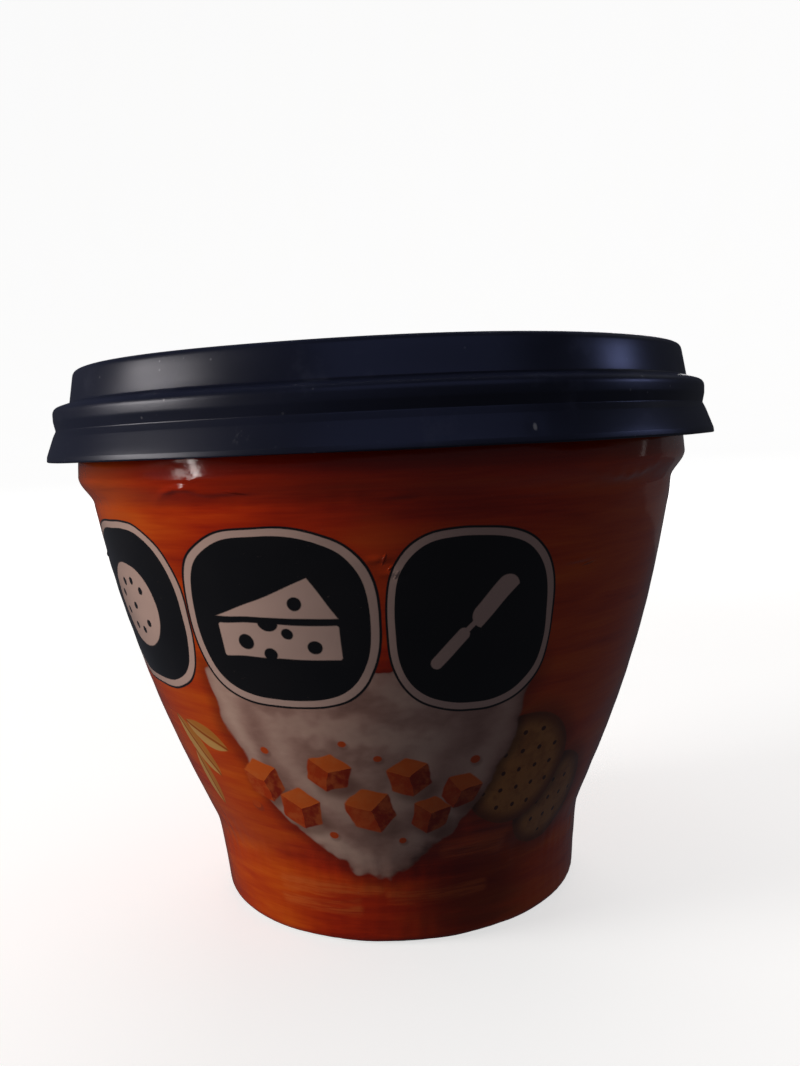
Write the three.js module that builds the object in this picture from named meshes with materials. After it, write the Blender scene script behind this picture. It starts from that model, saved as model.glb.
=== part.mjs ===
// Tub of cheese spread, shut: a moulded plastic pot in a printed film sleeve, and a press-on lid.
// Millimetres, +Z up. Origin: centre of the foot ring, on the plane the tub stands on.
// Both pieces are solids of revolution about Z. The pot is shut, so it is solid to its rim.
import * as THREE from 'three';

// ---------------------------------------------------------------- driving sizes (mm)
const SEGMENTS = 64;            // facets round each piece

// pot: foot
const FOOT_INNER_R = 23.6;      // inner edge of the ring it stands on
const FOOT_OUTER_R = 26.6;      // outer edge of the flat of that ring
const BASE_CORNER_R = 1.5;      // rounding between the ring and the side
const BASE_RECESS = 1.6;        // depth of the recess under the base
const RECESS_DRAFT = 0.9;       // the recess wall leans in by this much
const FOOT_R_AT_BASE = 27.96;   // side of the foot, carried down to z = 0
const FOOT_FLARE = 0.0876;      // mm of radius per mm of height
// pot: bowl above the foot
const WAIST_R = 29.49;          // bowl radius where the bowl curve starts
const WAIST_Z = 13.2;
const BOWL_TOP_R = 43.6;        // bowl radius under the collar
const BOWL_TOP_Z = 62.0;
const BOWL_BULGE = 0.36;        // extra fullness at mid height
const BOWL_LEAN = 1.42;         // how much steeper the flare is at the waist than on average
const WAIST_BLEND = 0.5;        // softness of the inside corner at the waist
const BOWL_STEPS = 13;
// pot: collar under the lid, neck and rim inside it
const COLLAR_R = 45.5;          // widest, low on the collar
const COLLAR_Z = 65.9;
const COLLAR_STEP_Z = 63.0;     // middle of the rounded step down to the bowl
const NECK_R = 45.03;
const RIM_R = 46.45;
const RIM_UNDER_Z = 73.1;
const RIM_TOP_Z = 74.9;
const RIM_ROUND = 0.45;

// lid: outside
const LID_TOP_Z = 80.9;         // top of the raised edge
const LID_TOP_R = 44.85;        // side of the top tier at its rounded edge
const LID_TOP_ROUND = 1.6;
const TIER_FOOT_R = 45.6;       // crease where the top tier meets the shoulder
const TIER_FOOT_Z = 76.45;
const SHOULDER_R = 48.2;
const SHOULDER_Z = 74.2;
const SHOULDER_ROUND = 1.2;
const SHOULDER_EDGE_Z = 75.75;
const GROOVE_R = 47.93;
const GROOVE_Z = 72.75;
const SKIRT_R = 49.5;           // widest point of the whole tub
const SKIRT_Z = 68.95;
const LID_BOTTOM_Z = 68.4;
// lid: top face
const EDGE_WIDTH = 3.4;         // width of the raised edge round the top
const PANEL_DROP = 1.5;         // the panel lies this far below the raised edge
const STACK_RING_R = 29.6;      // low ring that centres the foot of a tub stacked on top
const STACK_RING_WIDTH = 1.3;
const STACK_RING_HEIGHT = 0.6;
const GATE_R = 3.2;             // moulding dimple at the centre
const GATE_DEPTH = 0.35;
// lid: wall
const LID_WALL = 1.15;
const RIM_GAP = 0.35;           // clear space between the lid and the rim it closes

// ---------------------------------------------------------------- helpers
const smoothMax = (a, b, k) => 0.5 * (a + b + Math.sqrt((a - b) * (a - b) + k * k));

// points of an arc in the (r, z) plane, angles in degrees, both ends included
function arc(r, z, radius, from, to, steps) {
  const points = [];
  for (let i = 0; i <= steps; i++) {
    const a = THREE.MathUtils.degToRad(from + ((to - from) * i) / steps);
    points.push([r + radius * Math.cos(a), z + radius * Math.sin(a)]);
  }
  return points;
}

// radius of the pot's side at height z, from the base corner up to the collar
function sideRadius(z) {
  const t = (z - WAIST_Z) / (BOWL_TOP_Z - WAIST_Z);
  const rise = BOWL_TOP_R - WAIST_R;
  const bulge = t > 0 && t < 1 ? BOWL_BULGE * Math.sin(Math.PI * t) : 0;
  const bowl = WAIST_R + rise * (BOWL_LEAN * t - (BOWL_LEAN - 1) * t * t) + bulge;
  const foot = FOOT_R_AT_BASE + FOOT_FLARE * z;
  return z < WAIST_Z + 12 ? smoothMax(bowl, foot, WAIST_BLEND) : bowl;
}

function lathe(name, profile, color, roughness) {
  // profile runs from the axis round the outside and back to the axis
  const points = profile.map(([r, z]) => new THREE.Vector2(r, z));
  const geometry = new THREE.LatheGeometry(points, SEGMENTS);
  geometry.rotateX(Math.PI / 2);          // the lathe axis Y becomes Z
  const mesh = new THREE.Mesh(
    geometry,
    new THREE.MeshStandardMaterial({ color, roughness, metalness: 0 }),
  );
  mesh.name = name;
  return mesh;
}

// ---------------------------------------------------------------- pot
function potProfile() {
  const p = [[0, BASE_RECESS]];
  p.push([FOOT_INNER_R - RECESS_DRAFT, BASE_RECESS]);
  p.push([FOOT_INNER_R, 0]);
  // rounded base corner, tangent to the ring's flat and ending on the side
  const cornerEnd = BASE_CORNER_R;
  const rSide = sideRadius(cornerEnd);
  for (const [r, z] of arc(0, 0, 1, -90, 0, 4)) {
    p.push([FOOT_OUTER_R + (rSide - FOOT_OUTER_R) * r, cornerEnd * (1 + z)]);
  }
  // foot, waist and bowl: closer steps at the waist, where the side turns
  for (const z of [6, 9.5, 11.2, 12.6, 14, 15.8]) p.push([sideRadius(z), z]);
  for (let i = 1; i < BOWL_STEPS; i++) {
    const z = 15.8 + ((BOWL_TOP_Z - 15.8) * i) / (BOWL_STEPS - 1);
    p.push([sideRadius(z), z]);
  }
  // rounded step out to the collar
  const half = COLLAR_Z - COLLAR_STEP_Z;
  for (const s of [0.2, 0.45, 0.7, 0.9, 1]) {
    const ease = 0.5 - 0.5 * Math.cos(Math.PI * s);
    p.push([BOWL_TOP_R + (COLLAR_R - BOWL_TOP_R) * ease, BOWL_TOP_Z + (COLLAR_Z - BOWL_TOP_Z) * (s * 0.95 + 0.05)]);
  }
  p.push([NECK_R + 0.25, COLLAR_Z + half * 0.6]);
  p.push([NECK_R, RIM_UNDER_Z - 0.2]);
  // rim bead that the lid snaps over
  p.push([RIM_R - RIM_ROUND, RIM_UNDER_Z]);
  p.push([RIM_R, RIM_UNDER_Z + RIM_ROUND]);
  p.push([RIM_R, RIM_TOP_Z - RIM_ROUND]);
  p.push([RIM_R - RIM_ROUND, RIM_TOP_Z]);
  p.push([0, RIM_TOP_Z]);
  return p;
}

// ---------------------------------------------------------------- lid
function lidProfile() {
  const panelZ = LID_TOP_Z - PANEL_DROP;
  const edgeInner = LID_TOP_R - LID_TOP_ROUND - EDGE_WIDTH;
  const under = panelZ - LID_WALL;
  const p = [];
  // inside, from the axis out and down (the panel, the hollow behind the raised edge, the shoulder)
  p.push([0, under]);
  p.push([edgeInner + 0.3, under]);
  p.push([edgeInner + 1.5, LID_TOP_Z - LID_WALL]);
  p.push([LID_TOP_R - LID_WALL - 0.9, LID_TOP_Z - LID_WALL]);
  p.push([LID_TOP_R - LID_WALL, LID_TOP_Z - LID_WALL - 0.9]);
  p.push([TIER_FOOT_R - LID_WALL, TIER_FOOT_Z - 0.75]);
  p.push([TIER_FOOT_R - LID_WALL + 0.4, RIM_TOP_Z + RIM_GAP + 0.1]);
  p.push([RIM_R - 0.1, RIM_TOP_Z + RIM_GAP]);
  p.push([SHOULDER_R - LID_WALL, SHOULDER_Z - 0.1]);
  p.push([GROOVE_R - LID_WALL + 0.05, GROOVE_Z]);
  p.push([GROOVE_R - LID_WALL + 0.3, GROOVE_Z - 1.2]);
  p.push([SKIRT_R - LID_WALL, LID_BOTTOM_Z + 0.25]);
  // lower lip
  p.push([SKIRT_R - LID_WALL + 0.25, LID_BOTTOM_Z]);
  p.push([SKIRT_R - 0.3, LID_BOTTOM_Z]);
  p.push([SKIRT_R - 0.05, LID_BOTTOM_Z + 0.22]);
  // outside, from the lip up
  p.push([SKIRT_R, SKIRT_Z]);
  p.push([SKIRT_R - 0.3, SKIRT_Z + 0.75]);
  p.push([GROOVE_R + 0.22, GROOVE_Z - 0.85]);
  p.push([GROOVE_R, GROOVE_Z]);
  p.push([SHOULDER_R - 0.05, SHOULDER_Z - 0.6]);
  for (const q of arc(SHOULDER_R - SHOULDER_ROUND, SHOULDER_EDGE_Z - SHOULDER_ROUND, SHOULDER_ROUND, 0, 65, 3)) p.push(q);
  p.push([TIER_FOOT_R + 0.75, TIER_FOOT_Z - 0.2]);
  p.push([TIER_FOOT_R, TIER_FOOT_Z]);
  p.push([TIER_FOOT_R - 0.12, TIER_FOOT_Z + 0.6]);
  for (const q of arc(LID_TOP_R - LID_TOP_ROUND, LID_TOP_Z - LID_TOP_ROUND, LID_TOP_ROUND, 8, 90, 4)) p.push(q);
  // raised edge, panel, stacking ring and moulding dimple
  p.push([edgeInner + 0.9, LID_TOP_Z]);
  p.push([edgeInner + 0.25, LID_TOP_Z - 0.4]);
  p.push([edgeInner, panelZ + 0.15]);
  p.push([edgeInner - 0.5, panelZ]);
  p.push([STACK_RING_R + STACK_RING_WIDTH, panelZ]);
  p.push([STACK_RING_R + STACK_RING_WIDTH - 0.3, panelZ + STACK_RING_HEIGHT]);
  p.push([STACK_RING_R + 0.3, panelZ + STACK_RING_HEIGHT]);
  p.push([STACK_RING_R, panelZ]);
  p.push([GATE_R, panelZ]);
  p.push([GATE_R - 0.6, panelZ - GATE_DEPTH]);
  p.push([0, panelZ - GATE_DEPTH]);
  return p;
}

// ---------------------------------------------------------------- the tub
const tub = new THREE.Group();
tub.add(lathe('pot', potProfile(), 0xb8540f, 0.24));
tub.add(lathe('lid', lidProfile(), 0x1d2236, 0.42));

export default tub;
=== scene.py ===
import bpy
import math
import numpy as np
from mathutils import Matrix, Vector


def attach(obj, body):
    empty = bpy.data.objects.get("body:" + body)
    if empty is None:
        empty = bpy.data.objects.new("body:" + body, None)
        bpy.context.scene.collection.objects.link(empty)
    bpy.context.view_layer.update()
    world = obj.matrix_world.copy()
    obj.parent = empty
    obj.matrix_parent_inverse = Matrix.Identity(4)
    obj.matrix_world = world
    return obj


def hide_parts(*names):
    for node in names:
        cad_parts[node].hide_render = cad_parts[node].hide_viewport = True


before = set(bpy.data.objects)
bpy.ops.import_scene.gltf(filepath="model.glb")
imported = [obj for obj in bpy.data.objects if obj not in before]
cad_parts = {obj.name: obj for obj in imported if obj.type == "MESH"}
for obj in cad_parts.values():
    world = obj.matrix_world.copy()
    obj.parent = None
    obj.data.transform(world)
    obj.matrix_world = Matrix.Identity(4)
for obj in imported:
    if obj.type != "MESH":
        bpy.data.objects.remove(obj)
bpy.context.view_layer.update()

MM = 0.001
scene = bpy.context.scene

# ---------------------------------------------------------------- camera
CAM_F_PX, CAM_CX, CAM_CY = 964.6, 396.6, 588.4      # in an image of 800 x 1066
CAM_D, CAM_H = 152.7, 69.86                          # mm in front of the axis, mm up
CAM_YAW, CAM_PITCH, CAM_ROLL = 0.0086, 0.1564, -0.0464
LONG_SIDE = 1066.0


def make_camera():
    data = bpy.data.cameras.new("camera")
    cam = bpy.data.objects.new("camera", data)
    scene.collection.objects.link(cam)
    cy, sy = math.cos(CAM_YAW), math.sin(CAM_YAW)
    cp, sp = math.cos(CAM_PITCH), math.sin(CAM_PITCH)
    fwd = Vector((sy * cp, cy * cp, -sp))
    right0 = Vector((cy, -sy, 0.0))
    up0 = right0.cross(fwd)
    cr, sr = math.cos(CAM_ROLL), math.sin(CAM_ROLL)
    right = cr * right0 + sr * up0
    up = -sr * right0 + cr * up0
    m = Matrix((right, up, -fwd)).transposed().to_4x4()
    m.translation = Vector((0.0, -CAM_D * MM, CAM_H * MM))
    cam.matrix_world = m
    data.sensor_fit = "AUTO"
    data.sensor_width = 36.0
    data.lens = CAM_F_PX / LONG_SIDE * 36.0
    data.shift_x = (400.0 - CAM_CX) / LONG_SIDE
    data.shift_y = (CAM_CY - 533.0) / LONG_SIDE
    data.clip_start, data.clip_end = 0.01, 50.0
    data.dof.use_dof = False
    scene.camera = cam


make_camera()

# ---------------------------------------------------------------- sizes (mm), as in the CAD
FOOT_INNER_R, FOOT_OUTER_R, BASE_CORNER_R, BASE_RECESS = 23.6, 26.6, 1.5, 1.6
FOOT_R_AT_BASE, FOOT_FLARE = 27.96, 0.0876
WAIST_R, WAIST_Z, BOWL_TOP_R, BOWL_TOP_Z = 29.49, 13.2, 43.6, 62.0
BOWL_BULGE, BOWL_LEAN, WAIST_BLEND = 0.36, 1.42, 0.5
COLLAR_R, COLLAR_Z, NECK_R = 45.5, 65.9, 45.03
RIM_R, RIM_UNDER_Z, RIM_TOP_Z = 46.45, 73.1, 74.9
LID_TOP_Z, LID_TOP_R = 80.9, 44.85
TIER_FOOT_R, TIER_FOOT_Z = 45.6, 76.45
SHOULDER_R, SHOULDER_Z, SHOULDER_EDGE_Z = 48.2, 74.2, 75.75
GROOVE_R, GROOVE_Z, SKIRT_R, SKIRT_Z, LID_BOTTOM_Z = 47.93, 72.75, 49.5, 68.95, 68.4
EDGE_WIDTH, PANEL_DROP, LID_WALL = 3.4, 1.5, 1.15
STACK_RING_R, STACK_RING_WIDTH, STACK_RING_HEIGHT = 29.6, 1.3, 0.6

SEAM_DEG = 172.0          # where the film is joined, at the back


def smooth_max(a, b, k):
    return 0.5 * (a + b + math.sqrt((a - b) ** 2 + k * k))


def side_radius(z):
    t = (z - WAIST_Z) / (BOWL_TOP_Z - WAIST_Z)
    bulge = BOWL_BULGE * math.sin(math.pi * t) if 0 < t < 1 else 0.0
    bowl = WAIST_R + (BOWL_TOP_R - WAIST_R) * (BOWL_LEAN * t - (BOWL_LEAN - 1) * t * t) + bulge
    foot = FOOT_R_AT_BASE + FOOT_FLARE * z
    return smooth_max(bowl, foot, WAIST_BLEND) if z < WAIST_Z + 12 else bowl


def rounded(points, steps=7):
    """A profile of (r, z, corner radius): each corner is replaced by a smooth bend of about that radius."""
    out = []
    n = len(points)
    for i, (r, z, rad) in enumerate(points):
        if rad <= 0 or i in (0, n - 1):
            out.append((r, z))
            continue
        p = np.array((r, z))
        a = np.array(points[i - 1][:2]) - p
        b = np.array(points[i + 1][:2]) - p
        la, lb = np.linalg.norm(a), np.linalg.norm(b)
        a, b = a / la, b / lb
        turn = math.pi - math.acos(max(-1.0, min(1.0, float(a @ b))))
        cut = min(rad * math.tan(turn / 2), 0.47 * la, 0.47 * lb)
        p0, p1 = p + a * cut, p + b * cut
        for k in range(steps + 1):
            t = k / steps
            q = (1 - t) ** 2 * p0 + 2 * t * (1 - t) * p + t * t * p1
            out.append((float(q[0]), float(q[1])))
    return out


def subdivide(points, longest):
    """Splits the long stretches of a profile, so that no row of faces is taller than longest."""
    out = [points[0]]
    for a, b in zip(points, points[1:]):
        d = math.hypot(b[0] - a[0], b[1] - a[1])
        if d < 1e-6:
            continue
        n = max(1, math.ceil(d / longest))
        for k in range(1, n + 1):
            out.append((a[0] + (b[0] - a[0]) * k / n, a[1] + (b[1] - a[1]) * k / n))
    return out


def thinned(points):
    """Leaves out points that all but touch the one before."""
    out = [points[0]]
    for q in points[1:]:
        if math.hypot(q[0] - out[-1][0], q[1] - out[-1][1]) > 0.03:
            out.append(q)
    return out


# ---------------------------------------------------------------- seeded smooth noise for the meshes
class Waves:
    """Smooth noise on the surface of the tub: a sum of waves with seeded directions, periodic in the angle."""

    def __init__(self, seed, count, around, along, power=0.0):
        rng = np.random.default_rng(seed)
        self.n = rng.integers(around[0], around[1] + 1, count)
        self.k = rng.uniform(along[0], along[1], count) * rng.choice((-1, 1), count)
        self.ph = rng.uniform(0, 2 * math.pi, count)
        self.a = rng.normal(0, 1, count)
        self.a /= math.sqrt((self.a ** 2).sum() / 2)

    def __call__(self, th, z):
        out = np.zeros_like(th)
        for n, k, ph, a in zip(self.n, self.k, self.ph, self.a):
            out += a * np.sin(n * th + k * z + ph)
        return out


def bump_at(th, z, th0, z0, wide, tall):
    d = (th - math.radians(th0) + math.pi) % (2 * math.pi) - math.pi
    return np.exp(-((d * 40 / wide) ** 2) - ((z - z0) / tall) ** 2)


# ---------------------------------------------------------------- a lathe with per-vertex relief
def lathe(name, profile, around, relief=None, closed=False):
    """Revolves a profile of (r, z) in mm about Z. relief(th, r, z) gives a move in mm along the profile's outward
    normal.
    """
    prof = np.array(profile, float)
    start_axis = abs(prof[0, 0]) < 1e-9
    end_axis = abs(prof[-1, 0]) < 1e-9
    rows = prof[1 if start_axis else 0: -1 if end_axis else None]
    th = np.arange(around) * 2 * math.pi / around            # 0 faces -Y
    R, TH = np.meshgrid(rows[:, 0], th, indexing="ij")
    Z, _ = np.meshgrid(rows[:, 1], th, indexing="ij")
    d = np.gradient(rows, axis=0)
    ln = np.maximum(np.hypot(d[:, 0], d[:, 1]), 1e-9)
    nr, nz = d[:, 1] / ln, -d[:, 0] / ln                      # outward normal of a profile that runs bottom to top outside
    if relief is not None:
        amount = relief(TH, R, Z)
        R = R + amount * nr[:, None]
        Z = Z + amount * nz[:, None]
    X, Y = R * np.sin(TH), -R * np.cos(TH)
    verts = np.stack([X, Y, Z], -1).reshape(-1, 3) * MM
    m = len(rows)
    faces = []
    idx = np.arange(m * around).reshape(m, around)
    a = idx[:-1]
    b = np.roll(idx, -1, axis=1)[:-1]
    c = np.roll(idx, -1, axis=1)[1:]
    e = idx[1:]
    quads = np.stack([a, b, c, e], -1).reshape(-1, 4)
    faces = quads.tolist()
    verts = verts.tolist()
    if start_axis:
        verts.append((0, 0, prof[0, 1] * MM)); k = len(verts) - 1
        faces += [[k, int(idx[0, (j + 1) % around]), int(idx[0, j])] for j in range(around)]
    if end_axis:
        verts.append((0, 0, prof[-1, 1] * MM)); k = len(verts) - 1
        faces += [[k, int(idx[-1, j]), int(idx[-1, (j + 1) % around])] for j in range(around)]
    me = bpy.data.meshes.new(name)
    me.from_pydata(verts, [], faces)
    me.validate()
    me.polygons.foreach_set("use_smooth", [True] * len(me.polygons))
    me.update()
    ob = bpy.data.objects.new(name, me)
    scene.collection.objects.link(ob)
    return ob


# ---------------------------------------------------------------- node maths
class Value:
    """A number in a node tree; arithmetic on it adds Math nodes."""

    def __init__(self, nt, sock):
        self.nt, self.sock = nt, sock

    def _op(self, op, *args, clamp=False):
        node = self.nt.nodes.new("ShaderNodeMath")
        node.operation = op
        node.use_clamp = clamp
        for i, v in enumerate((self, *args)):
            if isinstance(v, Value):
                self.nt.links.new(v.sock, node.inputs[i])
            else:
                node.inputs[i].default_value = float(v)
        return Value(self.nt, node.outputs[0])

    def __add__(self, o): return self._op("ADD", o)
    __radd__ = __add__
    def __sub__(self, o): return self._op("SUBTRACT", o)
    def __mul__(self, o): return self._op("MULTIPLY", o)
    __rmul__ = __mul__
    def __truediv__(self, o): return self._op("DIVIDE", o)
    def __neg__(self): return self._op("MULTIPLY", -1.0)

    def __rsub__(self, o):
        node = self.nt.nodes.new("ShaderNodeMath")
        node.operation = "SUBTRACT"
        node.inputs[0].default_value = float(o)
        self.nt.links.new(self.sock, node.inputs[1])
        return Value(self.nt, node.outputs[0])

    def abs(self): return self._op("ABSOLUTE")
    def min(self, o): return self._op("MINIMUM", o)
    def smax(self, o, k): return self._op("SMOOTH_MAX", o, k)
    def max(self, o): return self._op("MAXIMUM", o)
    def smin(self, o, k): return self._op("SMOOTH_MIN", o, k)
    def pow(self, o): return self._op("POWER", o)
    def sqrt(self): return self._op("SQRT")
    def sin(self): return self._op("SINE")
    def cos(self): return self._op("COSINE")
    def mod(self, o): return self._op("FLOORED_MODULO", o)
    def floor(self): return self._op("FLOOR")
    def above(self, o): return self._op("GREATER_THAN", o)
    def below(self, o): return self._op("LESS_THAN", o)
    def clamp(self): return self._op("ADD", 0.0, clamp=True)

    def ramp(self, lo, hi, out_lo=0.0, out_hi=1.0, smooth=True):
        node = self.nt.nodes.new("ShaderNodeMapRange")
        node.interpolation_type = "SMOOTHSTEP" if smooth else "LINEAR"
        node.clamp = True
        self.nt.links.new(self.sock, node.inputs["Value"])
        if lo > hi:
            lo, hi, out_lo, out_hi = hi, lo, out_hi, out_lo
        node.inputs["From Min"].default_value = lo
        node.inputs["From Max"].default_value = hi
        node.inputs["To Min"].default_value = out_lo
        node.inputs["To Max"].default_value = out_hi
        return Value(self.nt, node.outputs["Result"])


def length2(a, b):
    return (a * a + b * b).sqrt()


def srgb(r, g, b):
    def lin(c):
        c /= 255.0
        return c / 12.92 if c <= 0.04045 else ((c + 0.055) / 1.055) ** 2.4
    return (lin(r), lin(g), lin(b), 1.0)


class Tree:
    """Helpers for one material."""

    def __init__(self, name):
        self.mat = bpy.data.materials.new(name)
        self.mat.use_nodes = True
        self.nt = self.mat.node_tree
        self.nt.nodes.clear()
        self.out = self.nt.nodes.new("ShaderNodeOutputMaterial")
        self.bsdf = self.nt.nodes.new("ShaderNodeBsdfPrincipled")
        self.nt.links.new(self.bsdf.outputs["BSDF"], self.out.inputs["Surface"])
        self.coord = self.nt.nodes.new("ShaderNodeTexCoord")
        sep = self.nt.nodes.new("ShaderNodeSeparateXYZ")
        self.nt.links.new(self.coord.outputs["Object"], sep.inputs[0])
        self.x = Value(self.nt, sep.outputs[0])
        self.y = Value(self.nt, sep.outputs[1])
        self.zm = Value(self.nt, sep.outputs[2])
        self.z = self.zm * 1000.0
        node = self.nt.nodes.new("ShaderNodeMath")
        node.operation = "ARCTAN2"
        self.nt.links.new(self.x.sock, node.inputs[0])
        self.nt.links.new((-self.y).sock, node.inputs[1])
        self.theta = Value(self.nt, node.outputs[0]) * (180.0 / math.pi)      # degrees, 0 at the front, + to the right

    def vector(self, a, b, c):
        node = self.nt.nodes.new("ShaderNodeCombineXYZ")
        for i, v in enumerate((a, b, c)):
            if isinstance(v, Value):
                self.nt.links.new(v.sock, node.inputs[i])
            else:
                node.inputs[i].default_value = float(v)
        return node.outputs[0]

    def noise(self, vec, scale, detail=2.0, rough=0.5, distortion=0.0):
        node = self.nt.nodes.new("ShaderNodeTexNoise")
        node.inputs["Scale"].default_value = scale
        node.inputs["Detail"].default_value = detail
        node.inputs["Roughness"].default_value = rough
        node.inputs["Distortion"].default_value = distortion
        self.nt.links.new(vec, node.inputs["Vector"])
        return Value(self.nt, node.outputs["Fac"])

    def voronoi(self, vec, scale, feature="F1"):
        node = self.nt.nodes.new("ShaderNodeTexVoronoi")
        node.feature = feature
        node.inputs["Scale"].default_value = scale
        self.nt.links.new(vec, node.inputs["Vector"])
        return Value(self.nt, node.outputs["Distance"])

    def mix(self, fac, a, b, blend="MIX"):
        node = self.nt.nodes.new("ShaderNodeMix")
        node.data_type = "RGBA"
        node.blend_type = blend
        for sock, v in ((node.inputs[0], fac), (node.inputs[6], a), (node.inputs[7], b)):
            if isinstance(v, Value):
                self.nt.links.new(v.sock, sock)
            elif isinstance(v, (float, int)):
                sock.default_value = float(v)
            elif isinstance(v, tuple):
                sock.default_value = v
            else:
                self.nt.links.new(v, sock)
        return node.outputs[2]

    def color_ramp(self, fac, stops):
        node = self.nt.nodes.new("ShaderNodeValToRGB")
        ramp = node.color_ramp
        while len(ramp.elements) < len(stops):
            ramp.elements.new(0.5)
        for el, (pos, col) in zip(ramp.elements, stops):
            el.position = pos
            el.color = col
        self.nt.links.new(fac.sock, node.inputs[0])
        return node.outputs[0]

    def bump(self, height, strength, distance, below=None):
        """Relief in the normals, on top of the node below if there is one."""
        node = self.nt.nodes.new("ShaderNodeBump")
        if below is not None:
            self.nt.links.new(below.outputs[0], node.inputs["Normal"])
        node.inputs["Strength"].default_value = strength
        node.inputs["Distance"].default_value = distance
        self.nt.links.new(height.sock, node.inputs["Height"])
        self.nt.links.new(node.outputs[0], self.bsdf.inputs["Normal"])
        return node

    def set(self, name, v):
        sock = self.bsdf.inputs[name]
        if isinstance(v, Value):
            self.nt.links.new(v.sock, sock)
        elif isinstance(v, (float, int, tuple)):
            sock.default_value = v
        else:
            self.nt.links.new(v, sock)


# ---------------------------------------------------------------- the print on the film
# badges: middle angle, half width in degrees, middle height, half height, lean (mm per degree)
PANELS = ((-56.4, 18.35, 48.9, 11.75, 0.004), (-19.7, 18.35, 48.5, 11.65, 0.012), (14.5, 15.25, 47.55, 11.8, 0.030))


def badge(px, py):
    """A square with fully rounded sides, half width 1."""
    return (px.abs().pow(2.7) + py.abs().pow(2.7)).pow(1.0 / 2.7) - 1.0


def sleeve_material():
    t = Tree("printed_film")
    th, z = t.theta, t.z

    # cylinder coordinates without a seam: a ring of fixed radius, so streaks keep their length at every height
    rad = length2(t.x, t.y).max(1e-5)
    ux, uy = t.x / rad, t.y / rad
    def ring(k_around, k_up, off=0.0):
        return t.vector(ux * k_around, uy * k_around, z * k_up + off)

    # the film shrinks unevenly, which bends straight edges of the print a little
    w1 = t.noise(ring(5.0, 0.11), 1.0, 1.0)
    w2 = t.noise(ring(5.0, 0.11, 31.0), 1.0, 1.0)
    thp = th + (w1 - 0.5) * 1.3
    zp = z + (w2 - 0.5) * 0.9

    # ---- ground of long brush strokes: orange at the sides, redder in the middle; painted shade darkens it towards the top, under the lid
    s_wide = t.noise(ring(1.3, 0.22), 1.0, 3.0, 0.55, 0.35)
    s_mid = t.noise(ring(2.7, 0.85, 7.0), 1.0, 3.0, 0.6, 0.25)
    s_fine = t.noise(ring(6.0, 3.2, 3.0), 1.0, 2.0, 0.55)
    streak = s_wide * 0.55 + s_mid * 0.32 + s_fine * 0.13
    red = t.color_ramp(streak, (
        (0.32, srgb(156, 30, 7)),
        (0.44, srgb(188, 42, 7)),
        (0.53, srgb(208, 52, 7)),
        (0.62, srgb(220, 64, 10)),
        (0.72, srgb(230, 86, 24)),
    ))
    orange = t.color_ramp(streak, (
        (0.32, srgb(194, 56, 7)),
        (0.44, srgb(212, 70, 6)),
        (0.53, srgb(222, 82, 8)),
        (0.62, srgb(230, 94, 14)),
        (0.72, srgb(238, 116, 38)),
    ))

    # ---- motif of the lower half, the same at the front and at the back
    fold = (thp + 90.0).mod(180.0) - 90.0
    X = fold * 0.62
    Y = zp
    sides = ((X + 2.0).abs() - (zp - 46.0).max(0.0) * 0.45).ramp(8.0, 24.0)
    ground = t.mix((sides + (s_wide - 0.5) * 1.2).clamp(), red, orange)
    ground = t.mix((X * -1.0).ramp(24.0, 34.0) * zp.ramp(56.0, 62.0) * 0.55, ground, srgb(232, 96, 8))
    ground = t.mix(length2((X + 0.9) * 0.30, (Y - 55.0) * 0.13 + (s_mid - 0.5)).ramp(1.2, 0.2) * 0.45, ground, srgb(232, 84, 20))
    # painted shade: the top of the film, just under the lid's edge, darkened all round
    ground = t.mix((zp + (s_mid - 0.5) * 8.0).ramp(63.8, 68.0) * 0.42, ground, srgb(104, 16, 8))
    dusk = length2((X - 13.5) * 0.075, (Y - 8.0) * 0.075 + (s_mid - 0.5) * 1.2)
    ground = t.mix(dusk.ramp(1.05, 0.25) * 0.62, ground, srgb(92, 18, 6))
    e1 = t.noise(ring(7.0, 0.22, 11.0), 1.0, 1.0, 0.5)
    e2 = t.noise(ring(15.0, 0.50, 5.0), 1.0, 1.0, 0.5)
    Xw = X + (e1 - 0.5) * 3.6
    Yw = Y + (e2 - 0.5) * 2.6

    # a scoop of cream: wide at the top, drawn down to a soft point
    outline = ((-23.5, 42.0), (-22.5, 31.0), (-16.8, 18.5), (-5.5, 10.2), (-1.0, 10.4), (9.5, 19.0), (15.5, 30.0), (17.0, 42.0))
    behind = thp.abs().above(90.0)
    mound = (4.5 - (X + 3.5) * (X + 3.5) * 0.022) * behind
    cream = Yw - 41.8 - mound + (e2 - 0.5) * 3.0
    for (x0, y0), (x1, y1) in zip(outline, outline[1:]):
        ln = math.hypot(x1 - x0, y1 - y0)
        nx, ny = (y1 - y0) / ln, -(x1 - x0) / ln
        side = Xw * nx + (Yw * ny - (x0 * nx + y0 * ny))
        cream = cream.smax(side, 2.6)
    cream_mask = cream.ramp(0.30, -0.30)

    # biscuits behind the cream
    def disc(cx, cy, r):
        return length2(X - cx, Y - cy) - r
    b1, b2 = disc(17.5, 25.5, 8.4), disc(25.5, 19.0, 7.2)
    bis_noise = t.noise(ring(20.0, 0.55, 2.0), 1.0, 3.0, 0.6)
    def dots(cx, cy):
        qx = ((X - cx) * 0.36 + 0.5).mod(1.0) - 0.5
        qy = ((Y - cy) * 0.36 + 0.5).mod(1.0) - 0.5
        return length2(qx, qy).ramp(0.10, 0.15, 1.0, 0.0)
    def biscuit(d, dot):
        base = t.mix(d.ramp(-2.6, -0.2), srgb(196, 128, 66), srgb(122, 58, 22))
        base = t.mix(bis_noise.ramp(0.42, 0.70) * 0.55, base, srgb(146, 76, 32))
        return t.mix(dot * d.ramp(-1.6, -1.4, 1.0, 0.0), base, srgb(84, 36, 16))

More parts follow.
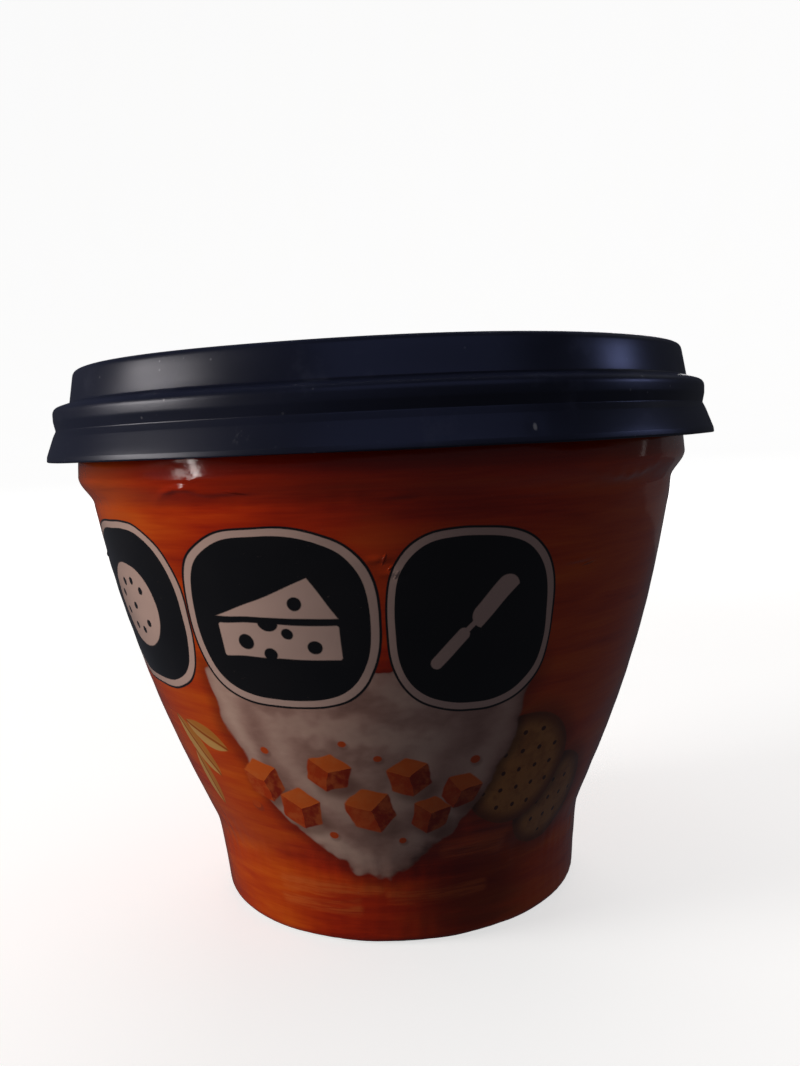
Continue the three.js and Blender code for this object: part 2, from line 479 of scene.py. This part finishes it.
    col = ground
    shadow = b1.min(b2).min(cream)
    col = t.mix(shadow.ramp(3.4, -0.2) * 0.55, col, srgb(96, 18, 6))
    col = t.mix(b2.ramp(0.15, -0.15), col, biscuit(b2, dots(25.5, 19.0)))
    col = t.mix(b1.ramp(2.2, -0.2) * b2.ramp(0.2, -0.2) * 0.6, col, srgb(60, 24, 10))
    col = t.mix(b1.ramp(0.15, -0.15), col, biscuit(b1, dots(17.5, 25.5)))
    col = t.mix(cream.ramp(2.6, -0.2) * b1.min(b2).ramp(0.2, -0.2) * 0.65, col, srgb(52, 22, 10))

    # soft folds in the cream, one inside the other
    slow = t.noise(ring(2.6, 0.06, 8.0), 1.0, 2.0, 0.5)
    folds = (cream * 0.92 + (Xw * 0.05 + slow * 7.0)).sin()
    grainy = t.noise(ring(24.0, 1.2, 8.0), 1.0, 3.0, 0.5)
    tone = folds * 0.20 + cream.ramp(0.4, -3.2) * 0.24 + (grainy - 0.5) * 0.24 + (slow - 0.5) * 0.7 + 0.35
    tone = tone - length2((Xw - 3.0) * 0.11, (Yw - 12.5) * 0.30).ramp(0.4, 1.3, 1.0, 0.0) * 0.24
    tone = tone + length2((Xw + Yw * 0.9 - 3.5) * 0.34, (Xw - Yw + 30.5) * 0.10).ramp(0.3, 1.2, 1.0, 0.0) * 0.26
    cream_col = t.color_ramp(tone, (
        (0.08, srgb(131, 92, 80)),
        (0.32, srgb(175, 132, 118)),
        (0.56, srgb(203, 160, 144)),
        (0.86, srgb(226, 187, 168)),
    ))
    col = t.mix(cream_mask, col, cream_col)

    # cubes of orange cheese on the cream, each seen at a corner
    for cx, cy, size, roll in ((-19.2, 25.6, 3.3, 12.0), (-8.9, 27.6, 3.1, -14.0), (1.6, 26.8, 3.2, 9.0), (8.7, 24.0, 2.9, -20.0),
                               (-14.2, 21.6, 3.6, -6.0), (-4.0, 21.8, 3.7, 16.0), (4.6, 20.6, 3.1, -9.0)):
        ca, sa = math.cos(math.radians(roll)), math.sin(math.radians(roll))
        dx, dy = X - cx, Y - cy
        qx = dx * ca + dy * sa + (e2 - 0.5) * 0.8
        qy = dy * ca - dx * sa + (e1 - 0.5) * 0.8
        up_l, up_r = qy * 0.5 - qx * 0.866, qy * 0.5 + qx * 0.866
        d = qx.abs().smax((qx * 0.5 + qy * 0.866).abs(), 0.35).smax((qx * 0.5 - qy * 0.866).abs(), 0.35) - size * 0.866
        on_top = qy.above(up_r * -1.0).min(qy.above(up_l * -1.0))
        at_left = up_l.above(up_r)
        face = t.mix(at_left, srgb(150, 36, 8), srgb(206, 66, 14))
        face = t.mix(on_top, face, srgb(238, 106, 34))
        crumb = t.noise(t.vector(dx * 0.55 + cx, dy * 0.55, size), 1.0, 3.0, 0.6)
        face = t.mix(crumb.ramp(0.40, 0.66) * 0.35, face, srgb(240, 128, 60))
        shade = length2(dx - 0.9, (dy + size * 0.62) * 1.5) - size * 0.85
        col = t.mix(shade.ramp(1.3, -0.9) * cream_mask * 0.55, col, srgb(112, 66, 50))
        col = t.mix(d.ramp(0.14, -0.14), col, face)
    # crumbs beside them
    for cx, cy, r in ((-22.4, 21.2, 0.75), (-17.6, 30.3, 0.6), (-10.0, 17.6, 0.7), (-2.4, 29.9, 0.55), (10.2, 28.6, 0.65), (0.4, 16.6, 0.6), (-6.6, 32.0, 0.5)):
        d = length2(X - cx, (Y - cy) * 1.2) - r
        col = t.mix(length2(X - cx - 0.2, (Y - cy + 0.35) * 1.2).ramp(r * 1.7, r * 0.7) * 0.4, col, srgb(120, 66, 50))
        col = t.mix(d.ramp(0.12, -0.12), col, srgb(216, 80, 22))

    # three leaves at the left
    def leaf(cx, cy, angle, long, fat):
        ca, sa = math.cos(math.radians(angle)), math.sin(math.radians(angle))
        dx, dy = X - cx, Y - cy
        a = dx * ca + dy * sa
        b = dy * ca - dx * sa
        big = (long * long + fat * fat) / (2 * fat)
        side = (b.abs() + (big - fat))
        return length2(a, side) - big, a, b
    for cx, cy, ang, ln, ft in ((-31.6, 28.6, -52.0, 5.4, 1.9), (-28.2, 30.8, -22.0, 4.4, 1.6), (-32.6, 23.2, -80.0, 4.4, 1.6)):
        d, a, b = leaf(cx, cy, ang, ln, ft)
        leaf_col = t.mix(b.abs().ramp(0.10, 0.30), srgb(176, 84, 20), t.mix(b.ramp(-0.8, 0.8), srgb(224, 170, 96), srgb(206, 128, 48)))
        col = t.mix(d.ramp(0.12, -0.12), col, leaf_col)

    # lighter brush strokes low on the foot
    def stroke(cx, cy, rx, ry, power):
        d = length2(((X - cx).abs() - (rx - ry)).max(0.0), Y - cy + (s_mid - 0.5) * 3.0) - ry
        return d.ramp(0.5, -0.9) * power * s_fine.ramp(0.36, 0.56, 0.35, 1.0)
    light = stroke(-13.0, 8.4, 10.0, 1.0, 0.55).max(stroke(-15.0, 5.8, 8.0, 0.9, 0.5)).max(stroke(6.0, 7.6, 9.0, 1.0, 0.45)).max(stroke(12.0, 14.0, 6.0, 1.6, 0.30))
    col = t.mix(light, col, srgb(232, 112, 48))

    # ---- dark badges with a pale border and a plain picture in each
    dist = None
    for i, (a0, hw, z0, hz, lean) in enumerate(PANELS):
        dx = thp - a0
        px = dx * (1.0 / hw)
        py = (zp - z0 + dx * lean) * (1.0 / hz)
        d = badge(px, py)
        if dist is None:
            dist, PX, PY, which = d, px, py, d * 0.0
        else:
            pick = d.below(dist)
            rest = 1.0 - pick
            PX = px * pick + PX * rest
            PY = py * pick + PY * rest
            which = pick * float(i) + which * rest
            dist = dist.min(d)

    def box(cx, cy, hx, hy, r=0.0):
        ax, ay = (PX - cx).abs() - (hx - r), (PY - cy).abs() - (hy - r)
        if r <= 0:
            return ax.max(ay)
        return length2(ax.max(0.0), ay.max(0.0)) + ax.max(ay).min(0.0) - r
    def circle(cx, cy, r):
        return length2(PX - cx, PY - cy) - r
    # a wedge of cheese
    front = box(0.0, -0.22, 0.62, 0.19, 0.03)
    for cx, cy, r in ((-0.34, -0.25, 0.085), (0.10, -0.13, 0.06), (0.36, -0.27, 0.075), (-0.10, -0.37, 0.07), (-0.08, -0.02, 0.10)):
        front = front.max(-circle(cx, cy, r))
    top = (PY * -1.0 + 0.045).max((PX + 0.62) * -0.40 + (PY - 0.045) * 0.9165).max((PX - 0.62) * 0.86 + (PY - 0.045) * 0.51)
    top = top.max(-circle(0.22, 0.20, 0.075))
    wedge = front.min(top)
    # a spreading knife
    a = (PX + PY) * 0.70711
    b = (PY - PX) * 0.70711
    blade = length2((a - 0.32).abs().ramp(0.20, 1.20, 0.0, 1.0, smooth=False), b + 0.02) - 0.135
    blade = blade.max(b * -1.0 - 0.095)
    neck = (b.abs() - 0.030).max((a + 0.02).abs() - 0.16)
    grip = length2((a + 0.40).abs().ramp(0.22, 1.22, 0.0, 1.0, smooth=False), b) - 0.070
    knife = blade.min(neck).min(grip)
    # a round cracker
    crust = circle(0.0, 0.0, 0.50)
    for k in range(9):
        a = math.radians(40 * k)
        ring_r = 0.30 if k else 0.0
        crust = crust.max(-circle(ring_r * math.cos(a), ring_r * math.sin(a), 0.045))
    icon = crust * which.below(0.5) + wedge * (which - 1.0).abs().below(0.5) + knife * which.above(1.5)

    panel = dist.ramp(0.006, -0.006)
    border = dist.ramp(-0.020, -0.030) * dist.ramp(-0.105, -0.095)
    pale = border.max(icon.ramp(0.008, -0.008))
    ink = t.mix(w1.ramp(0.3, 0.7) * 0.5, srgb(24, 24, 27), srgb(33, 31, 33))
    panel_col = t.mix(pale, ink, srgb(222, 186, 172))
    col = t.mix(panel, col, panel_col)

    # wear: faint rubbed marks
    rub = t.noise(ring(40.0, 2.0, 17.0), 1.0, 4.0, 0.7).ramp(0.66, 0.80)
    col = t.mix(rub * 0.10, col, srgb(230, 200, 180))
    t.set("Base Color", col)

    # gloss of the film: streaky smudges
    smudge = t.noise(ring(6.0, 0.35, 21.0), 1.0, 3.0, 0.6)
    t.set("Roughness", smudge.ramp(0.3, 0.75, 0.07, 0.16) + rub * 0.10)
    t.set("Specular IOR Level", 0.5)
    t.set("IOR", 1.5)
    t.set("Coat Weight", 0.35)
    t.set("Coat Roughness", 0.08)
    fine = t.noise(ring(30.0, 2.4, 13.0), 1.0, 2.0, 0.5) * 0.6 + t.noise(ring(90.0, 2.2, 19.0), 1.0, 1.0, 0.5) * 0.4
    base = t.bump(fine, 0.16, 0.00010)
    # tiny sharp tucks in the film, each a short ridge: angle, height, direction, half length, half width (mm)
    tucks = None
    for a0, z0, turn, long, fat in ((-0.5, 55.9, 68.0, 0.85, 0.26), (0.5, 54.9, 40.0, 0.55, 0.22), (1.4, 54.0, 62.0, 0.70, 0.24), (36.6, 53.2, 8.0, 1.50, 0.26),
                                    (-22.5, 64.3, -12.0, 1.6, 0.22), (-70.0, 54.0, 50.0, 0.9, 0.24), (118.0, 52.0, 30.0, 0.9, 0.24), (158.0, 56.5, 75.0, 0.9, 0.26),
                                    (-135.0, 49.0, 60.0, 0.8, 0.24)):
        ca, sa = math.cos(math.radians(turn)), math.sin(math.radians(turn))
        dx, dz = (th - a0) * 0.72, z - z0
        d = length2((dx * ca + dz * sa) * (1.0 / long), (dz * ca - dx * sa) * (1.0 / fat)).ramp(1.0, 0.0)
        tucks = d if tucks is None else tucks.max(d)
    t.bump(tucks, 1.0, 0.00020, below=base)
    return t.mat


def pot_plastic_material():
    t = Tree("pot_plastic")
    v = t.vector(t.x, t.y, t.zm)
    n = t.noise(v, 160.0, 3.0, 0.55)
    rad = length2(t.x, t.y) * 1000.0
    rings = (rad * 3.1).sin().ramp(-1.0, 1.0)
    col = t.mix(n.ramp(0.3, 0.7), srgb(226, 214, 188), srgb(236, 227, 206))
    col = t.mix(rings * 0.12, col, srgb(206, 192, 162))
    t.set("Base Color", col)
    t.set("Roughness", n.ramp(0.2, 0.8, 0.30, 0.46))
    t.set("Subsurface Weight", 0.12)
    t.set("Subsurface Radius", (0.004, 0.003, 0.002))
    t.bump(n * 0.7 + rings * 0.3, 0.25, 0.00008)
    return t.mat


def lid_material():
    t = Tree("lid_plastic")
    v = t.vector(t.x, t.y, t.zm)
    big = t.noise(v, 38.0, 3.0, 0.5)
    grain = t.noise(v, 2600.0, 2.0, 0.6)
    flow = t.noise(t.vector(t.x, t.y, t.zm * 3.0), 55.0, 2.0, 0.5)
    col = t.mix(big.ramp(0.3, 0.7), srgb(27, 30, 47), srgb(31, 35, 54))
    col = t.mix(flow.ramp(0.35, 0.75) * 0.30, col, srgb(37, 40, 60))
    # dust specks, paler than the plastic
    speck = t.voronoi(v, 640.0).ramp(0.14, 0.05) * t.noise(v, 95.0, 2.0).ramp(0.55, 0.62)
    haze = t.noise(v, 150.0, 4.0, 0.65).ramp(0.56, 0.74)
    col = t.mix(haze * 0.16, col, srgb(92, 94, 112))
    col = t.mix(speck * 0.38, col, srgb(160, 158, 164))
    # a pale spot at the front of the skirt, over the small nick
    chip = length2((t.theta - 20.2) * 0.86 * 2.6, (t.z - 70.2) * 1.7)
    col = t.mix(chip.ramp(0.9, 0.35) * 0.85, col, srgb(206, 204, 202))
    # faint scuffs further left
    scuff = length2((t.theta + 18.5) * 0.86 * 0.75, t.z - 70.8).ramp(1.3, 0.3) * t.noise(t.vector(t.x, t.y, t.zm * 0.6), 1500.0, 2.0, 0.6).ramp(0.54, 0.68)
    col = t.mix(scuff * 0.10, col, srgb(190, 188, 192))
    t.set("Base Color", col)
    t.set("Roughness", flow.ramp(0.3, 0.75, 0.29, 0.36) + haze * 0.05)
    t.set("Specular IOR Level", 0.5)
    t.set("IOR", 1.49)
    t.bump(grain, 0.08, 0.00006)
    return t.mat


# ---------------------------------------------------------------- pot in its film
FILM = 0.09           # the film's edge under the foot stands this proud of the bare plastic


def pot_profile():
    p = [(0, BASE_RECESS), (2.4, BASE_RECESS), (2.9, BASE_RECESS - 0.35), (3.3, BASE_RECESS)]
    p += [(15.0, BASE_RECESS), (15.5, BASE_RECESS - 0.25), (16.4, BASE_RECESS - 0.25), (16.9, BASE_RECESS)]
    base = [(r, z, 0.0) for r, z in p]
    base += [(FOOT_INNER_R - 0.95, BASE_RECESS, 0.5), (FOOT_INNER_R - 0.15, 0.0, 0.45), (FOOT_OUTER_R - 0.35, 0.0, 0.0)]
    prof = rounded(base, 5)
    # bare corner up to the film's edge, then the film
    rs = side_radius(BASE_CORNER_R)
    for i in range(1, 13):
        a = math.radians(-90 + 90 * i / 12)
        prof.append((FOOT_OUTER_R + (rs - FOOT_OUTER_R) * math.cos(a), BASE_CORNER_R * (1 + math.sin(a))))
    z = BASE_CORNER_R
    while z < BOWL_TOP_Z - 0.01:
        z = min(z + (0.24 if 52.5 < z < 57.0 or z > 60.5 else 0.52), BOWL_TOP_Z)
        prof.append((side_radius(z), z))
    n = 22
    for i in range(1, n + 1):
        s = i / n
        e = 0.5 - 0.5 * math.cos(math.pi * s)
        prof.append((BOWL_TOP_R + (COLLAR_R - BOWL_TOP_R) * e, BOWL_TOP_Z + (COLLAR_Z + 0.2 - BOWL_TOP_Z) * s))
    top = [(COLLAR_R, COLLAR_Z + 0.2, 0), (COLLAR_R - 0.05, COLLAR_Z + 0.7, 0.5), (COLLAR_R - 0.26, COLLAR_Z + 2.9, 1.2), (NECK_R, RIM_UNDER_Z - 0.4, 0.3), (RIM_R, RIM_UNDER_Z, 0.3),
           (RIM_R, RIM_TOP_Z, 0.4), (RIM_R - 2.0, RIM_TOP_Z, 0.0), (0, RIM_TOP_Z, 0.0)]
    prof += [q for q in subdivide(rounded(top, 4), 0.3)[1:] if q[1] < 70.2 and q[0] > 44.0]
    prof += [(NECK_R, 70.5), (NECK_R, RIM_UNDER_Z - 0.4), (RIM_R - 0.3, RIM_UNDER_Z), (RIM_R, RIM_UNDER_Z + 0.3),
             (RIM_R, RIM_TOP_Z - 0.4), (RIM_R - 0.4, RIM_TOP_Z), (0, RIM_TOP_Z)]
    return thinned(prof)


out_of_round = Waves(11, 5, (2, 4), (0.01, 0.05))
soft_dents = Waves(5, 26, (5, 14), (0.05, 0.35))
ripples = Waves(23, 34, (6, 26), (0.7, 1.7))
puckers = Waves(31, 30, (50, 110), (0.05, 0.5))
edge_wave = Waves(41, 8, (3, 17), (0.0, 0.0))

PINCHES = ((-1.2, 56.0, 0.9, 0.36, 0.22), (1.1, 54.3, 0.8, 0.34, 0.20), (34.5, 53.8, 1.7, 0.32, 0.24), (2.2, 63.2, 1.6, 0.35, 0.12),
           (-29.6, 65.9, 0.9, 0.26, 0.11), (-24.5, 64.3, 3.0, 0.30, 0.10), (24.0, 62.6, 5.0, 0.4, 0.16), (-70.0, 55.0, 1.0, 0.4, 0.20),
           (96.0, 50.0, 1.2, 0.4, 0.18), (140.0, 57.0, 1.6, 0.4, 0.18), (-120.0, 44.0, 1.0, 0.6, 0.18), (-150.0, 58.5, 1.4, 0.4, 0.18))


def pot_relief(th, r, z):
    side = np.clip((z - 1.2) / 4.0, 0, 1) * (r > 26.8)
    out = 0.07 * out_of_round(th, z) * side
    out += 0.035 * soft_dents(th, z) * side
    band = np.exp(-((z - 63.0) / 5.0) ** 2)
    out += (0.010 + 0.022 * band) * ripples(th, z) * side * (z < 69)
    waist = np.exp(-((z - 12.0) / 4.0) ** 2) + 0.7 * np.exp(-((z - 2.5) / 2.5) ** 2) + 0.5 * np.exp(-((z - 62.8) / 1.6) ** 2)
    out += 0.014 * waist * puckers(th, z) * (r > 26.8)
    for a0, z0, wide, tall, h in PINCHES:
        out += h * bump_at(th, z, a0, z0, wide, tall) - 0.6 * h * bump_at(th, z, a0, z0 - tall * 1.7, wide * 1.1, tall)
    # two arched folds where the film turns in under the collar
    for a0, z0, wide, tall, drop, h in ((-32.2, 65.05, 3.6, 0.30, 0.85, 0.36), (43.0, 63.9, 6.5, 0.70, -0.9, 0.30)):
        d = ((th - math.radians(a0) + math.pi) % (2 * math.pi) - math.pi) * 45.0
        out += h * (1 + 0.20 * np.sin(2.1 * d)) * np.exp(-((d / wide) ** 2) - ((z - z0 + drop * (d / wide) ** 2) / tall) ** 2)
    # joined edge of the film at the back: two layers over a width of 5 mm
    d = (th - math.radians(SEAM_DEG) + math.pi) % (2 * math.pi) - math.pi
    arc = d * np.maximum(r, 1.0)
    lap = 1 / (1 + np.exp(-(arc + 2.5) / 0.12)) * 1 / (1 + np.exp((arc - 2.5) / 0.12))
    out += 0.10 * lap * side
    # the film's edge, a little wavy, near the foot's corner
    edge = 0.42 + 0.10 * edge_wave(th, z * 0)
    film = 1 / (1 + np.exp(-(z - edge) / 0.04)) * (r > 26.0)
    out += FILM * (film - 1.0) * (r > 22.0) * np.clip(z / 0.12, 0, 1)
    return out


pot = lathe("pot_body", pot_profile(), 400, pot_relief)
pot.data.materials.append(sleeve_material())
pot.data.materials.append(pot_plastic_material())


def bare_plastic(me):
    n = len(me.polygons)
    centre = np.zeros(n * 3)
    me.polygons.foreach_get("center", centre)
    c = centre.reshape(-1, 3) * 1000
    th = np.arctan2(c[:, 0], -c[:, 1])
    edge = 0.42 + 0.10 * edge_wave(th, th * 0)
    bare = (c[:, 2] < edge) | (np.hypot(c[:, 0], c[:, 1]) < 25.9) | (c[:, 2] > 71.5)
    me.polygons.foreach_set("material_index", bare.astype(int).tolist())


bare_plastic(pot.data)
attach(pot, "root")
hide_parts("pot")


# ---------------------------------------------------------------- lid
def lid_profile():
    panel = LID_TOP_Z - PANEL_DROP
    inner = LID_TOP_R - 1.6 - EDGE_WIDTH
    under = panel - LID_WALL
    p = [(0, under, 0), (inner + 0.3, under, 0.6), (inner + 1.5, LID_TOP_Z - LID_WALL, 0.6), (LID_TOP_R - LID_WALL - 0.1, LID_TOP_Z - LID_WALL, 0.9),
         (TIER_FOOT_R - LID_WALL, TIER_FOOT_Z - 0.75, 0.4), (TIER_FOOT_R - LID_WALL + 0.6, RIM_TOP_Z + 0.4, 0.3), (RIM_R - 0.1, RIM_TOP_Z + 0.35, 0.4),
         (SHOULDER_R - LID_WALL, SHOULDER_Z - 0.1, 0.5), (GROOVE_R - LID_WALL + 0.05, GROOVE_Z, 0.4), (GROOVE_R - LID_WALL + 0.3, GROOVE_Z - 1.2, 0.6),
         (SKIRT_R - LID_WALL - 0.05, LID_BOTTOM_Z, 0.35), (SKIRT_R + 0.01, LID_BOTTOM_Z, 0.24), (SKIRT_R - 0.11, SKIRT_Z + 0.22, 0.30),
         (GROOVE_R + 0.42, GROOVE_Z - 0.95, 1.4), (GROOVE_R - 0.02, GROOVE_Z - 0.1, 0.30), (SHOULDER_R - 0.05, SHOULDER_Z - 0.3, 2.0),
         (SHOULDER_R - 0.06, SHOULDER_EDGE_Z - 0.10, 1.12), (TIER_FOOT_R + 0.15, TIER_FOOT_Z - 0.05, 0.30), (LID_TOP_R + 0.05, LID_TOP_Z, 1.0),
         (inner + 0.45, LID_TOP_Z, 0.7), (inner, panel, 0.5), (STACK_RING_R + STACK_RING_WIDTH, panel, 0.2),
         (STACK_RING_R + STACK_RING_WIDTH - 0.3, panel + STACK_RING_HEIGHT, 0.25), (STACK_RING_R + 0.3, panel + STACK_RING_HEIGHT, 0.25),
         (STACK_RING_R, panel, 0.2), (3.2, panel, 0.4), (2.6, panel - 0.35, 0.3), (1.0, panel - 0.35, 0.2), (0.7, panel - 0.05, 0.2), (0, panel - 0.05, 0)]
    return thinned(subdivide(rounded(p, 6), 1.1))


lid_round = Waves(61, 5, (2, 5), (0.0, 0.05))
lid_soft = Waves(67, 14, (4, 12), (0.05, 0.3))


def lid_relief(th, r, z):
    outer = np.clip((r - 20.0) / 20.0, 0, 1)
    out = 0.03 * lid_round(th, z) * outer + 0.012 * lid_soft(th, z) * outer
    # small nick on the skirt, and two on the shoulder
    for a0, z0, wide, tall, h in ((20.2, 70.2, 0.35, 0.5, -0.16), (-118.0, 75.2, 0.8, 0.4, -0.12), (64.0, 70.0, 0.6, 0.35, -0.14)):
        out += h * bump_at(th, z, a0, z0, wide, tall) * (r > 47.2)
    # the lip is a little uneven along its edge
    out += 0.020 * edge_wave(th * 1.0, z * 0) * np.exp(-((z - 68.6) / 0.5) ** 2) * (r > 49.0)
    return out


lid = lathe("lid_cap", lid_profile(), 320, lid_relief)
lid.data.materials.append(lid_material())
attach(lid, "root")
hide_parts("lid")


# ---------------------------------------------------------------- floor, light
def floor_material():
    t = Tree("floor")
    v = t.vector(t.x, t.y, 0.0)
    n = t.noise(v, 9.0, 4.0, 0.5)
    t.set("Base Color", t.mix(n, srgb(214, 213, 211), srgb(222, 221, 220)))
    t.set("Roughness", 0.75)
    far = length2(t.x, t.y).ramp(0.12, 1.1)
    t.set("Emission Color", t.mix(n, (1.0, 0.995, 0.985, 1.0), (1.0, 1.0, 1.0, 1.0)))
    t.set("Emission Strength", far * 0.27 + 0.66)
    return t.mat


def make_floor():
    """A round floor that curves up into a pale wall on every side."""
    flat, wall, height = 2.2, 3.6, 2.6
    prof = [(0.0, 0.0), (0.3, 0.0), (1.0, 0.0), (flat, 0.0)]
    for i in range(1, 25):
        a = math.radians(90 * i / 24)
        prof.append((flat + (wall - flat) * math.sin(a), (wall - flat) * (1 - math.cos(a))))
    prof.append((wall, height))
    around = 96
    verts, faces = [(0, 0, 0)], []
    for r, z in prof[1:]:
        for j in range(around):
            a = 2 * math.pi * j / around
            verts.append((r * math.sin(a), -r * math.cos(a), z))
    for j in range(around):
        faces.append((0, 1 + j, 1 + (j + 1) % around))
    for i in range(len(prof) - 2):
        for j in range(around):
            a, b = 1 + i * around + j, 1 + i * around + (j + 1) % around
            faces.append((a, a + around, b + around, b))
    me = bpy.data.meshes.new("studio_floor")
    me.from_pydata(verts, [], faces)
    me.polygons.foreach_set("use_smooth", [True] * len(me.polygons))
    ob = bpy.data.objects.new("studio_floor", me)
    ob.location.z = -0.00004
    scene.collection.objects.link(ob)
    me.materials.append(floor_material())
    ob.visible_glossy = False       # the pale studio doesn't wash out the gloss of the film
    ob.visible_diffuse = False
    return ob


floor = make_floor()


def area(name, pos, target, size, power, color, size_y=None):
    data = bpy.data.lights.new(name, "AREA")
    data.energy = power
    data.color = color
    data.shape = "RECTANGLE"
    data.size = size
    data.size_y = size_y or size
    ob = bpy.data.objects.new(name, data)
    ob.location = pos
    d = Vector(target) - Vector(pos)
    ob.rotation_mode = "QUATERNION"
    ob.rotation_quaternion = d.to_track_quat("-Z", "Y")
    scene.collection.objects.link(ob)
    return ob


CENTRE = (0.0, 0.0, 0.045)


def at(azimuth, elevation, distance=0.95):
    """A place seen from the tub at these angles; azimuth 0 is the front, + to the right."""
    a, e = math.radians(azimuth), math.radians(elevation)
    return (distance * math.cos(e) * math.sin(a), -distance * math.cos(e) * math.cos(a), CENTRE[2] + distance * math.sin(e))


def only(name, *objects):
    group = bpy.data.collections.new(name)
    for ob in objects:
        group.objects.link(ob)
    return group


on_stage, on_pot, on_lid = only("on_stage", floor), only("on_pot", pot), only("on_lid", lid)


def gloss(name, azimuth, elevation, size, size_y, power, color, receiver):
    """A light that only shows as a reflection."""
    ob = area(name, at(azimuth, elevation), CENTRE, size, power, color, size_y)
    ob.visible_diffuse = False
    ob.light_linking.receiver_collection = receiver


def soft(name, azimuth, elevation, distance, size, power, color):
    """A light that is too wide to show as a reflection."""
    ob = area(name, at(azimuth, elevation, distance), CENTRE, size, power, color)
    ob.visible_glossy = False
    return ob


# a narrow bright light and a dimmer one beside it at the left, whose reflections show on the collar
gloss("left_bright", -67.2, 13.0, 0.030, 0.42, 0.42, (1.0, 0.92, 0.88), on_pot)
gloss("left_dim", -71.6, 13.0, 0.060, 0.36, 0.20, (1.0, 0.92, 0.88), on_pot)
gloss("sheen_left", -79.0, 14.2, 0.50, 0.24, 2.6, (1.0, 0.95, 0.97), on_lid)
gloss("veil_front", 15.0, 34.0, 1.2, 0.6, 0.85, (0.38, 0.46, 1.0), on_lid)
gloss("strip_right", 105.5, 7.0, 0.034, 0.34, 0.010, (1.0, 0.94, 0.92), on_pot)
gloss("rim_right", 138.0, 4.0, 0.60, 0.46, 0.028, (1.0, 0.86, 0.82), on_pot)
gloss("sheen_right", 92.0, 15.5, 0.16, 0.15, 0.46, (0.40, 0.48, 1.0), on_lid)
gloss("edge_right", 124.0, 34.0, 0.50, 0.30, 0.05, (0.86, 0.90, 1.0), on_lid)
gloss("back_bright", 152.0, 16.0, 0.12, 0.36, 0.9, (1.0, 0.98, 0.96), on_pot)
gloss("back_sheen", 168.0, 14.0, 0.36, 0.28, 1.2, (1.0, 0.98, 0.98), on_lid)
soft("key_left", -78.0, 21.0, 0.95, 0.42, 3.7, (1.0, 0.97, 0.94))
soft("low_left", -82.0, 4.0, 0.95, 0.20, 1.9, (1.0, 0.96, 0.92))
soft("fill_front", 20.0, 14.0, 1.2, 0.9, 0.35, (1.0, 0.93, 0.98))
soft("fill_back", 175.0, 24.0, 1.2, 0.9, 4.0, (1.0, 0.96, 0.94))
soft("fill_back_right", 136.0, 18.0, 1.2, 0.9, 1.7, (1.0, 0.95, 0.97))
soft("top_soft", 180.0, 62.0, 1.0, 0.6, 9.0, (0.96, 0.97, 1.0)).light_linking.receiver_collection = on_lid
area("floor_light", (0.0, 0.1, 1.9), (0.0, 0.1, 0.0), 1.6, 6.0, (1.0, 0.995, 0.99)).light_linking.receiver_collection = on_stage

world = bpy.data.worlds.new("studio")
scene.world = world
world.use_nodes = True
bg = world.node_tree.nodes["Background"]
bg.inputs[0].default_value = (0.80, 0.84, 1.0, 1.0)
bg.inputs[1].default_value = 0.042

scene.view_settings.view_transform = "Standard"
scene.view_settings.look = "None"
scene.view_settings.exposure = 0.0
scene.view_settings.gamma = 1.0
